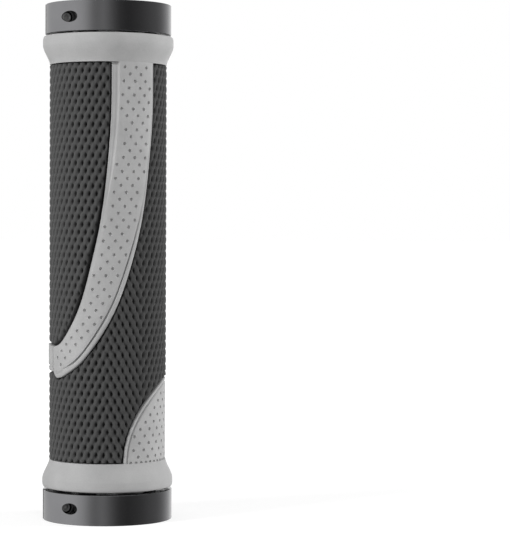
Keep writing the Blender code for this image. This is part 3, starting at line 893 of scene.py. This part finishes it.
# %% [markdown]
# ## Dimples
#
# Rows of small round dimples give the pads their grip. On the real grip, pins in the mould press
# them in. They stand on a staggered lattice, 3 mm apart round the grip, that leans a little to the
# left on its way down. Each pin is a bullet shape of a few dozen faces, computed for all pins at
# once, and the pins are then cut from the pad.

# %% Dimple functions
PIN_RADIUS = 0.41
PIN_DEPTH = 0.55
PIN_SIDES = 10
DIMPLE_PITCH = 3.0
DIMPLE_ROW = 1.72
# The pin's rings as (share of its radius, share of its depth, which is positive above the pad)
PIN_RINGS = np.array([
    (0.0, 0.7), (1.12, 0.7), (1.06, 0.10), (0.94, -0.22), (0.74, -0.66), (0.40, -0.93), (0.0, -1.0),
])
LATTICE_ROWS = 60
LATTICE_SPREAD = 12


def dimple_lattice(first, drift, bend, low, high):
    """Staggered places (arc, height) going down from the first dimple.

    Row j lies 1.72 j below the first, and moves left by drift and by bend times the square.
    """
    columns = np.arange(-LATTICE_SPREAD, LATTICE_SPREAD + 1)
    row, column = np.meshgrid(np.arange(LATTICE_ROWS), columns, indexing="ij")
    down = row * DIMPLE_ROW
    arc = first[0] + DIMPLE_PITCH * (column + 0.5 * (row % 2)) - drift * down - bend * down**2
    places = np.column_stack([arc.ravel(), (first[1] - down).ravel()])
    return places[(places[:, 1] > low) & (places[:, 1] < high)]


def pin_shells(places, base, per_degree):
    """One pin for each (arc, height) place: rings of ten points between two poles."""
    side = np.linspace(0.0, 2 * math.pi, PIN_SIDES, endpoint=False)
    out = PIN_RINGS[1:-1, :1] * PIN_RADIUS
    arc = np.concatenate([[0.0], (out * np.cos(side)).ravel(), [0.0]])
    rise = np.concatenate([[0.0], (out * np.sin(side)).ravel(), [0.0]])
    above = PIN_RINGS[:, 1] * PIN_DEPTH
    lift = np.concatenate([above[:1], np.repeat(above[1:-1], PIN_SIDES), above[-1:]])
    points = on_grip((places[:, :1] + arc) / per_degree, base + lift, places[:, 1:] + rise)
    count = len(lift)
    ring = 1 + np.arange(PIN_SIDES)
    last = ring + count - 2 - PIN_SIDES
    quads = 1 + grid_faces(len(out), PIN_SIDES, wrap_columns=True)
    tris = np.vstack([
        np.column_stack([0 * ring, np.roll(ring, -1), ring]),
        np.column_stack([0 * ring + count - 1, last, np.roll(last, -1)]),
    ])
    starts = count * np.arange(len(places))[:, None, None]
    return shell(points, (quads + starts).reshape(-1, 4), (tris + starts).reshape(-1, 3))


def both_sides(part):
    """A shell and its mirror image on the back of the grip."""
    points, faces = part
    return [part, shell(points * FRONT_TO_BACK, *faces)]


print("a pin has", PIN_SIDES * (len(PIN_RINGS) - 1), "faces")

# %% [markdown]
# ## Dimples on the band
#
# A dimple is kept only where the pad has room for it, which the signed distance to the pad's own
# outline tells. A fine upright seam near the left end, where the two halves of the mould met, is
# cut at the same time.

# %% Upper band
FIRST_DIMPLE = (4.2, UPPER_FOOT - 1.35)
DIMPLE_DRIFT = 0.0766
DIMPLE_BEND = 0.00027
DIMPLE_MARGIN = 0.62
SEAM_ANGLE = -66.5
SEAM_CLEARANCE = 6.0
SEAM_WIDTH = 0.24
SEAM_DEPTH = 0.28
GREY_SHARP = 50.0

depth = UPPER_FOOT - outer_edge[:, 1]
unit = (outer_edge - inner_edge) / np.linalg.norm(outer_edge - inner_edge, axis=1)[:, None]
pad_inner = inner_edge + unit * (along_depth(STRIP_WIDTHS, depth) + 0.2)
groove_reach = along_depth(GROOVE_PLACES, depth) + along_depth(GROOVE_WIDTHS, depth) / 2
pad_outer = outer_edge - unit * groove_reach
before_seam = pad_outer[:, 0] > (SEAM_ANGLE + SEAM_CLEARANCE) * PER_DEGREE
pad_outline = np.vstack([pad_inner[before_seam], pad_outer[before_seam][::-1]])
band_dimples = dimple_lattice(FIRST_DIMPLE, DIMPLE_DRIFT, DIMPLE_BEND, LOWER_FOOT, UPPER_FOOT)
band_dimples = band_dimples[signed_distance(band_dimples, pad_outline) < -DIMPLE_MARGIN]
seam = block(
    (BAND_RADIUS - SEAM_DEPTH, -SEAM_WIDTH / 2, outer_edge[-1][1] - 2.0),
    (BAND_RADIUS + 1.0, SEAM_WIDTH / 2, inner_edge[-1][1] + 2.0), SEAM_ANGLE,
)
cutters = both_sides(pin_shells(band_dimples, BAND_RADIUS, PER_DEGREE)) + both_sides(seam)
cut(band, cutters, sharp=GREY_SHARP)
upper_band = joined("sweeping_band", make_object("collar", [upper_collar]), band)
stands_for(upper_band, "upper_band")
print(2 * len(band_dimples), "dimples on the band")

# %% [markdown]
# ## Dome pad
#
# The pad has a raised rim and a narrow groove inside it. Its grid runs from the outline to the
# middle of the pad's foot: each row is the outline drawn in by some distance, and the section
# across it is the rim, the groove and the pad. The rows at both ends shrink to a single place, so
# their points are welded into one.

# %% Dome shell
DOME_POINTS = 161

# The section as (distance in from the outline, height over the pad)
DOME_SECTION = np.array([
    (0.0, -0.45), (0.05, -0.20), (0.14, -0.05), (0.34, 0.02), (0.56, 0.0), (0.68, -0.10),
    (0.80, -0.38), (1.02, -0.40), (1.16, -0.12), (1.28, -0.03), (1.50, 0.0), (3.0, 0.0),
])
DOME_FILL = np.linspace(0.92, 0.0, 13)


def dome_shell():
    """The dome pad as a closed shell: rows go in from the outline and then shrink to its foot."""
    edge = dome_rows(DOME_POINTS)
    along = np.gradient(edge, axis=0)
    along /= np.linalg.norm(along, axis=1)[:, None]
    inwards = np.column_stack([along[:, 1], -along[:, 0]])
    centre = np.array([DOME_MIDDLE * DOME_PER_DEGREE, LOWER_FOOT])
    drawn = edge[None] + DOME_SECTION[:, :1, None] * inwards[None]
    filled = centre + (drawn[-1] - centre) * DOME_FILL[:, None, None]
    plan = np.vstack([drawn, filled])
    plan[..., 1] = np.maximum(plan[..., 1], LOWER_FOOT)
    lift = np.concatenate([DOME_SECTION[:, 1], 0 * DOME_FILL])
    top = on_grip(plan[..., 0] / DOME_PER_DEGREE, (DOME_RADIUS + lift)[:, None], plan[..., 1])
    shares = np.linspace(1.0, 0.0, 9)[:, None, None]
    under_plan = centre + (edge[None] - centre) * shares
    under = on_grip(under_plan[..., 0] / DOME_PER_DEGREE, BAND_BORE, under_plan[..., 1])
    points = np.vstack([under[::-1], top])
    return shell(points, grid_faces(*points.shape[:2], wrap_columns=True))


dome = make_object("dome", [dome_shell()])
weld = bmesh.new()
weld.from_mesh(dome.data)
bmesh.ops.remove_doubles(weld, verts=weld.verts, dist=0.001 * MM)
bmesh.ops.dissolve_degenerate(weld, edges=weld.edges, dist=0.001 * MM)
weld.to_mesh(dome.data)
weld.free()
print("dome has", len(dome.data.polygons), "faces")

# %% [markdown]
# ## Dimples on the dome
#
# The dome's dimples stand on the same kind of lattice, inside its groove. A closer row lies on the
# joint with the collar, which cuts them in half.

# %% Lower band
DOME_FIRST_DIMPLE = (11.3, LOWER_FOOT - 0.18 + 23 * DIMPLE_ROW)
DOME_DRIFT = 0.085
DOME_MARGIN = 1.7
FOOT_MARGIN = 1.9
FOOT_ROW_RISE = 0.12
FOOT_CLEARANCE = 1.0

lowest = LOWER_FOOT + FOOT_CLEARANCE
dome_dimples = dimple_lattice(DOME_FIRST_DIMPLE, DOME_DRIFT, 0.0, lowest, LOWER_FOOT + DOME_HEIGHT)
dome_dimples = dome_dimples[signed_distance(dome_dimples, dome_outline) < -DOME_MARGIN]
foot_start = dome_edge[:, 0].min() + FOOT_MARGIN
foot_stop = dome_edge[:, 0].max() - FOOT_MARGIN
foot_arcs = np.arange(foot_start, foot_stop, DIMPLE_PITCH / 2)
foot_dimples = np.column_stack([foot_arcs, np.full(len(foot_arcs), LOWER_FOOT + FOOT_ROW_RISE)])
pins = np.vstack([dome_dimples, foot_dimples])
cut(dome, [pin_shells(pins, DOME_RADIUS, DOME_PER_DEGREE)], sharp=GREY_SHARP)
lower_band = joined("dome_pad", make_object("collar", [lower_collar]), dome)
stands_for(lower_band, "lower_band")
print(len(pins), "dimples on the dome")

# %% [markdown]
# ## Clamp rings
#
# A ring is turned from aluminium bar, then drilled along a tangent for its screw and slit open.
# Turning gives a section with small round corners, and the drilled hole and the slot are cut as a
# drill and a saw would cut them. A narrow Bevel breaks the cut edges, which is what catches the
# light at the hole.

# %% Ring sizes
BORE_RADIUS = 11.15
RING_ROUND = 0.12
BORE_CHAMFER = 0.3
EDGE_BREAK = 0.02
SLOT_WIDTH = 1.5
SLOT_ANGLE = -82.0
SCREW_ANGLE = -72.0
SCREW_OFFSET = 13.0
SCREW_FROM_END = 4.0
POCKET_RADIUS = 1.4
POCKET_FLOOR = 4.008
SHANK_HOLE = 1.2
END_WALL = 1.3
TAB_WIDTH = 5.0
TAB_ANGLE = -25.0
TAB_REACH = 3.0


def ring_section(radius, end, inwards):
    """The ring's closed section: two round corners outside and small chamfers at the bore."""
    turn = np.linspace(0.0, math.pi / 2, 7)
    outside = radius - RING_ROUND * (1 - np.sin(turn))
    near = np.column_stack([outside, RING_ROUND * (1 - np.cos(turn))])
    far = np.column_stack([outside[::-1], RING_WIDTH - near[::-1, 1]])
    mouth = BORE_RADIUS + BORE_CHAMFER
    back = [(mouth, RING_WIDTH), (BORE_RADIUS, RING_WIDTH - BORE_CHAMFER), (BORE_RADIUS, BORE_CHAMFER)]
    section = np.vstack([near, far, back, (mouth, 0.0)])
    section[:, 1] = end + inwards * section[:, 1]
    return section


def screw_frame(height):
    """The frame of a clamp screw: +Z runs from the thread to the head, along a tangent."""
    outward = Vector(on_grip(SCREW_ANGLE, 1.0, 0.0))
    along = Vector((-outward.y, outward.x, 0.0))
    side = along.cross(outward)
    place = Matrix((outward, side, along)).transposed().to_4x4()
    place.translation = outward * SCREW_OFFSET + Vector((0.0, 0.0, height))
    return place


def hole_end(radius):
    """Where the screw hole ends, one wall short of the ring's outside."""
    return END_WALL - math.sqrt(radius**2 - SCREW_OFFSET**2)


print("hole ends", round(hole_end(LOWER_RING_RADIUS), 2), "mm along the screw")

# %% [markdown]
# ## Solids of turning
#
# The drill and the screw are both round about their own axis. Their profile runs from one pole to
# the other, and each of its points becomes a ring. A ring may also be a hexagon, for the socket:
# then its radius follows the hexagon's side, one over the cosine of the angle from its middle.

# %% Solid of turning


def solid_of_turning(profile, steps=48):
    """A (radius, height, 1 if hexagonal) profile from pole to pole, turned about +Z."""
    profile = np.asarray(profile, float)
    turn = np.linspace(0.0, 2 * math.pi, steps, endpoint=False)
    sixth = (turn + math.pi / 6) % (math.pi / 3) - math.pi / 6
    body = profile[1:-1]
    reach = body[:, :1] * np.where(body[:, 2:] > 0, 1 / np.cos(sixth), 1.0)
    rings = [reach * np.cos(turn), reach * np.sin(turn), np.broadcast_to(body[:, 1:2], reach.shape)]
    poles = [[0.0, 0.0, profile[0][1]]], [[0.0, 0.0, profile[-1][1]]]
    points = np.vstack([poles[0], np.stack(rings, -1).reshape(-1, 3), poles[1]])
    first = 1 + np.arange(steps)
    last = first + len(points) - 2 - steps
    quads = 1 + grid_faces(len(body), steps, wrap_columns=True)
    tris = np.vstack([
        np.column_stack([0 * first, first, np.roll(first, -1)]),
        np.column_stack([0 * last + len(points) - 1, np.roll(last, -1), last]),
    ])
    return shell(points, quads, tris)


print("a cone of 48 steps has", len(solid_of_turning([(0, 0, 0), (1, 0, 0), (0, 1, 0)])[0]), "points")

# %% [markdown]
# ## Making the rings
#
# Four notches in the ring's inner end take the dog tabs of the core tube, so that the grip cannot
# turn in its rings. The ring near the hand's outer edge is the mirror image of the other one.

# %% Rings


def make_ring(name, node, radius, end, inwards):
    """A clamp ring from its outer end face inwards, with its screw hole, slot and tab notches."""
    ring = make_object(name, [turned_shell(ring_section(radius, end, inwards))])
    height = end + inwards * SCREW_FROM_END
    stop = hole_end(radius)
    hole = solid_of_turning([
        (0.0, 14.0, 0), (POCKET_RADIUS, 14.0, 0), (POCKET_RADIUS, POCKET_FLOOR, 0),
        (SHANK_HOLE, POCKET_FLOOR, 0), (SHANK_HOLE, stop, 0), (0.0, stop, 0),
    ])
    centre = end + inwards * RING_WIDTH / 2
    slot = block(
        (BORE_RADIUS - 2.0, -SLOT_WIDTH / 2, centre - RING_WIDTH),
        (radius + 2.0, SLOT_WIDTH / 2, centre + RING_WIDTH), SLOT_ANGLE,
    )
    face = end + inwards * RING_WIDTH
    heights = sorted([face - inwards * (TAB_REACH + SEAT_GAP), face + inwards])
    half_tab = TAB_WIDTH / 2 + SEAT_GAP
    reach = CORE_RADIUS + SEAT_GAP
    notches = [
        block((BORE_RADIUS - 1.0, -half_tab, heights[0]), (reach, half_tab, heights[1]), angle)
        for angle in TAB_ANGLE + 90.0 * np.arange(4)
    ]
    cut(ring, [moved(hole, screw_frame(height)), slot, *notches], bevel=EDGE_BREAK)
    stands_for(ring, node)
    return ring


lower_ring = make_ring("lower_ring", "lower_clamp_ring", LOWER_RING_RADIUS, 0.0, 1)
upper_ring = make_ring("upper_ring", "upper_clamp_ring", UPPER_RING_RADIUS, GRIP_LENGTH, -1)

# %% [markdown]
# ## Clamp screws
#
# The screw is a small socket head screw. Its profile starts at the bottom of the socket, climbs
# over the head and runs down the shank to the tip, so no cutting is needed.

# %% Screws
HEAD_RADIUS = 1.15
HEAD_LENGTH = 2.2
SHANK_RADIUS = 0.9
SOCKET_HALF_WIDTH = 0.6
SOCKET_DEPTH = 1.2


def make_screw(name, node, radius, height):
    """A socket head screw whose seat lies a seat gap above the pocket's floor."""
    seat = POCKET_FLOOR + SEAT_GAP
    top = seat + HEAD_LENGTH
    end = hole_end(radius) + SEAT_GAP
    socket = SOCKET_HALF_WIDTH
    profile = [
        (0.0, top - SOCKET_DEPTH - 0.12, 0), (socket * 0.98, top - SOCKET_DEPTH, 1),
        (socket, top - SOCKET_DEPTH * 0.9, 1), (socket, top - 0.08, 1), (socket + 0.06, top, 1),
        (HEAD_RADIUS - 0.24, top, 0), (HEAD_RADIUS - 0.07, top - 0.07, 0), (HEAD_RADIUS, top - 0.24, 0),
        (HEAD_RADIUS, seat + 0.06, 0), (HEAD_RADIUS - 0.06, seat, 0), (SHANK_RADIUS, seat, 0),
        (SHANK_RADIUS, end + 0.2, 0), (SHANK_RADIUS - 0.2, end, 0), (0.0, end, 0),
    ]
    screw = make_object(name, [moved(solid_of_turning(profile), screw_frame(height))])
    stands_for(screw, node)
    return screw


lower_screw = make_screw("lower_screw", "lower_clamp_screw", LOWER_RING_RADIUS, SCREW_FROM_END)
upper_screw = make_screw(
    "upper_screw", "upper_clamp_screw", UPPER_RING_RADIUS, GRIP_LENGTH - SCREW_FROM_END,
)

# %% [markdown]
# ## Core tube
#
# Inside the rubber is a hard tube. Only its bore and the dog tabs at its ends can be seen. The tube
# is a turned section, and each tab is a curved block that stands on its end.

# %% Core tube
TAB_STEPS = 9
TAB_OVERLAP = 0.05


def curved_block(angle, low, high):
    """A tab bent round the grip: its section is the tube's wall and its width a straight run."""
    half_turn = np.degrees(np.arcsin(TAB_WIDTH / 2 / CORE_RADIUS))
    turn = angle + np.linspace(-half_turn, half_turn, TAB_STEPS)[:, None]
    radius = np.array([[BORE_RADIUS, CORE_RADIUS, CORE_RADIUS, BORE_RADIUS]])
    points = on_grip(turn, radius, np.array([[low, low, high, high]]))
    sides = grid_faces(TAB_STEPS, 4, wrap_columns=True)
    last_corner = 4 * (TAB_STEPS - 1)
    return shell(points, sides, np.array([[0, 1, 2, 3]]), last_corner + np.array([[3, 2, 1, 0]]))


tube_section = [
    (CORE_RADIUS, LOWER_COLLAR_END), (CORE_RADIUS, UPPER_COLLAR_END),
    (BORE_RADIUS, UPPER_COLLAR_END), (BORE_RADIUS, LOWER_COLLAR_END),
]
tabs = []
for angle in TAB_ANGLE + 90.0 * np.arange(4):
    tabs.append(curved_block(angle, core_low[2], LOWER_COLLAR_END + TAB_OVERLAP))
    tabs.append(curved_block(angle, UPPER_COLLAR_END - TAB_OVERLAP, core_high[2]))
core = make_object("core_tube", [turned_shell(tube_section, 192), *tabs])
stands_for(core, "core_sleeve")

# %% [markdown]
# ## Dark rubber
#
# The knurled part is black thermoplastic rubber, moulded and left matt. Its skin is too rough to
# mirror much, so its roughness is high and its specular level low. The grooves and pits are painted
# darker than the tops of the diamonds, a painted shade that the lift value from the mesh sets in
# millimetres, and a fine moulded grain breaks up the highlights. The channel beside the band
# mirrors nothing and the deepest pits mirror less: their reflection is painted out, a painted
# shade for the light that the band and the diamonds keep from them.

# %% Dark rubber
MOTTLE_MM = 6.0
GRAIN_MM = 0.22
GRAIN_DEPTH_MM = 0.03
# Over these heights the painted shade gives way to the tops' colour, and to a satin reflection
GROOVE_SHADE_MM = (-0.75, -0.08)
REFLECTION_SHADE_MM = (-1.20, -0.80)

dark_rubber = new_material("moulded_black_rubber")
place = add(dark_rubber, "ShaderNodeTexCoord").outputs["Object"]
lift_mm = add(dark_rubber, "ShaderNodeAttribute", attribute_name="lift").outputs["Fac"]
mottle = add(
    dark_rubber, "ShaderNodeTexNoise", {"Vector": place, "Scale": 1 / (MOTTLE_MM * MM), "Detail": 3.0},
)
grain = add(
    dark_rubber, "ShaderNodeTexNoise", {"Vector": place, "Scale": 1 / (GRAIN_MM * MM), "Detail": 2.0},
)
# Painted shade: the deeper a point lies below the diamonds' tops, the darker it is painted
painted_groove_shade = add(
    dark_rubber, "ShaderNodeMapRange",
    {"Value": lift_mm, "From Min": GROOVE_SHADE_MM[0], "From Max": GROOVE_SHADE_MM[1]},
)
# The tint is the random mottle plus that painted groove shade
shade = add(
    dark_rubber, "ShaderNodeMath", {0: mottle, 1: 0.25, 2: painted_groove_shade},
    operation="MULTIPLY_ADD", use_clamp=True,
)
# Painted shade: the reflection is painted out in the deepest hollows and the moat
gloss_with_painted_shade = add(
    dark_rubber, "ShaderNodeMapRange",
    {"Value": lift_mm, "From Min": REFLECTION_SHADE_MM[0], "From Max": REFLECTION_SHADE_MM[1], "To Max": 0.40},
)
finish(
    dark_rubber, [knurl], tint=shade, shades=("#181818", "#474747"), wear=mottle,
    roughness=(0.50, 0.64), grain=grain, strength=0.35, depth_mm=GRAIN_DEPTH_MM,
    **{"Specular IOR Level": gloss_with_painted_shade},
)
print("dark rubber grain", GRAIN_MM, "mm")

# %% [markdown]
# ## Grey rubber
#
# The collars, the band and the dome pad are a softer light grey rubber with a satin skin. Moulded
# rubber is never one even grey: a faint large mottle and a very fine grain keep it from looking
# painted.

# %% Grey rubber
SKIN_MM = 0.35
SKIN_DEPTH_MM = 0.02

grey_rubber = new_material("moulded_grey_rubber")
place = add(grey_rubber, "ShaderNodeTexCoord").outputs["Object"]
mottle = add(
    grey_rubber, "ShaderNodeTexNoise", {"Vector": place, "Scale": 1 / (MOTTLE_MM * MM), "Detail": 4.0},
)
skin = add(
    grey_rubber, "ShaderNodeTexNoise", {"Vector": place, "Scale": 1 / (SKIN_MM * MM), "Detail": 2.0},
)
mixed = add(grey_rubber, "ShaderNodeMath", {0: skin, 1: 0.5, 2: mottle}, operation="MULTIPLY_ADD")
shade = add(grey_rubber, "ShaderNodeMapRange", {"Value": mixed, "From Min": 0.45, "From Max": 1.05})
finish(
    grey_rubber, [upper_band, lower_band], tint=shade, shades=("#a6a6a6", "#b4b4b4"), wear=mottle,
    roughness=(0.48, 0.62), grain=skin, strength=0.30, depth_mm=SKIN_DEPTH_MM,
    **{"Specular IOR Level": 0.40},
)
print("grey rubber skin", SKIN_MM, "mm")

# %% [markdown]
# ## Anodised aluminium
#
# The rings are turned aluminium, polished and dyed a gunmetal grey by anodising. Anodised metal
# keeps a metal's reflection with a tinted colour, so it is fully metallic with a grey base colour
# and a low roughness. The lathe leaves very fine lines round the ring. Real ones are about a
# hundredth of a millimetre apart, too fine for this picture, so they are drawn at a tenth.

# %% Anodised aluminium
LATHE_LINE_MM = 0.1
LATHE_DEPTH_MM = 0.006
STAIN_MM = 8.0

anodised = new_material("anodised_aluminium")
place = add(anodised, "ShaderNodeTexCoord").outputs["Object"]
stretch = add(anodised, "ShaderNodeMapping", {"Vector": place, "Scale": (0.02, 0.02, 1.0)})
lines = add(
    anodised, "ShaderNodeTexNoise",
    {"Vector": stretch, "Scale": 1 / (LATHE_LINE_MM * MM), "Detail": 2.0},
)
stain = add(
    anodised, "ShaderNodeTexNoise", {"Vector": place, "Scale": 1 / (STAIN_MM * MM), "Detail": 3.0},
)
finish(
    anodised, [lower_ring, upper_ring], tint=stain, shades=("#828284", "#8e8e90"), wear=lines,
    roughness=(0.14, 0.24), grain=lines, strength=0.12, depth_mm=LATHE_DEPTH_MM, Metallic=1.0,
)
print("lathe lines", LATHE_LINE_MM, "mm")

# %% [markdown]
# ## Blackened steel
#
# The screws are steel with a black oxide skin. The oxide is no metal, so the shader is only half
# metallic, and a fine speckle keeps it dull. Its base colour is painted light grey, not black: a
# painted highlight that lets the head read lit deep in its pocket.

# %% Blackened steel
SPECK_MM = 0.3
SPECK_DEPTH_MM = 0.01

lit_painted_steel = new_material("black_oxide_steel_painted_light")
place = add(lit_painted_steel, "ShaderNodeTexCoord").outputs["Object"]
speck = add(
    lit_painted_steel, "ShaderNodeTexNoise", {"Vector": place, "Scale": 1 / (SPECK_MM * MM), "Detail": 3.0},
)
# Painted highlight: these light greys stand for light on the head, not for the black oxide
finish(
    lit_painted_steel, [lower_screw, upper_screw], tint=speck, shades=("#8a8a8a", "#b4b4b4"), wear=speck,
    roughness=(0.25, 0.40), grain=speck, strength=0.2, depth_mm=SPECK_DEPTH_MM, Metallic=0.5,
)
print("steel speck", SPECK_MM, "mm")

# %% [markdown]
# ## Glass-filled nylon
#
# The core tube is black nylon with short glass fibres, a matt plastic whose fibres lie along the
# tube and leave it slightly streaky.

# %% Nylon
FIBRE_MM = 0.5
FIBRE_DEPTH_MM = 0.02

nylon = new_material("glass_filled_nylon")
place = add(nylon, "ShaderNodeTexCoord").outputs["Object"]
streak = add(nylon, "ShaderNodeMapping", {"Vector": place, "Scale": (1.0, 1.0, 0.15)})
fibre = add(
    nylon, "ShaderNodeTexNoise", {"Vector": streak, "Scale": 1 / (FIBRE_MM * MM), "Detail": 4.0},
)
finish(
    nylon, [core], tint=fibre, shades=("#1a1a1b", "#2c2c2d"), wear=fibre,
    roughness=(0.42, 0.60), grain=fibre, strength=0.25, depth_mm=FIBRE_DEPTH_MM, IOR=1.53,
)
print("nylon fibre", FIBRE_MM, "mm")
